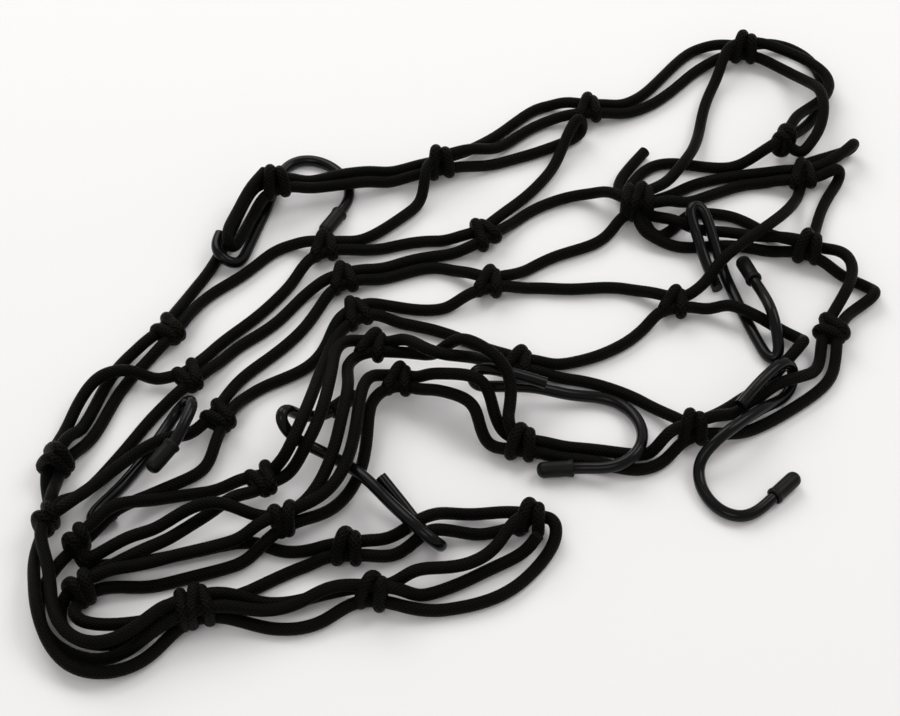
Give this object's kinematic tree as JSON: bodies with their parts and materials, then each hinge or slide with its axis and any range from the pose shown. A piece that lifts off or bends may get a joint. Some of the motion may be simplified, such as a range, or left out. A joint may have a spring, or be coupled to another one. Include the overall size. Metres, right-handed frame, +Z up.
{
  "type": "cargo net with wire hooks",
  "caption": "Loose cargo net of knotted elastic cord with capped wire hooks on its cords, lying spread on a flat floor.",
  "frame": {"origin": "middle of the net's footprint, on the floor it lies on", "axes": "+Z up from the floor, +X to the net's right, +Y to its far side"},
  "size_m": [0.3214, 0.3224, 0.0296],
  "materials": {
    "elastic_cord": "black braided cover",
    "knot_cord": "black braided cover, drawn tight",
    "hook_wire": "glossy black coated steel wire",
    "hook_cap": "smooth black rubber"
  },
  "bodies": {
    "root": {"cap_a": "hook_cap", "cap_b": "hook_cap", "cap_c": "hook_cap", "cap_d": "hook_cap", "cap_e": "hook_cap", "cap_f": "hook_cap", "cord_bottom_edge": "elastic_cord", "cord_far_loop": "elastic_cord", "cord_fifth": "elastic_cord", "cord_folded": "elastic_cord", "cord_fourth": "elastic_cord", "cord_inner": "elastic_cord", "cord_left_loop": "elastic_cord", "cord_middle": "elastic_cord", "cord_outer": "elastic_cord", "cord_second_edge": "elastic_cord", "cord_sixth": "elastic_cord", "cord_tail": "elastic_cord", "cord_third": "elastic_cord", "cord_top_edge": "elastic_cord", "hook_a": "hook_wire", "hook_b": "hook_wire", "hook_c": "hook_wire", "hook_d": "hook_wire", "hook_e": "hook_wire", "hook_f": "hook_wire", "knot_1": "knot_cord", "knot_10": "knot_cord", "knot_11": "knot_cord", "knot_12": "knot_cord", "knot_13": "knot_cord", "knot_14": "knot_cord", "knot_15": "knot_cord", "knot_16": "knot_cord", "knot_17": "knot_cord", "knot_18": "knot_cord", "knot_19": "knot_cord", "knot_2": "knot_cord", "knot_20": "knot_cord", "knot_21": "knot_cord", "knot_22": "knot_cord", "knot_23": "knot_cord", "knot_24": "knot_cord", "knot_25": "knot_cord", "knot_26": "knot_cord", "knot_27": "knot_cord", "knot_28": "knot_cord", "knot_29": "knot_cord", "knot_3": "knot_cord", "knot_30": "knot_cord", "knot_31": "knot_cord", "knot_32": "knot_cord", "knot_33": "knot_cord", "knot_4": "knot_cord", "knot_5": "knot_cord", "knot_6": "knot_cord", "knot_7": "knot_cord", "knot_8": "knot_cord", "knot_9": "knot_cord"}
  },
  "joints": []
}
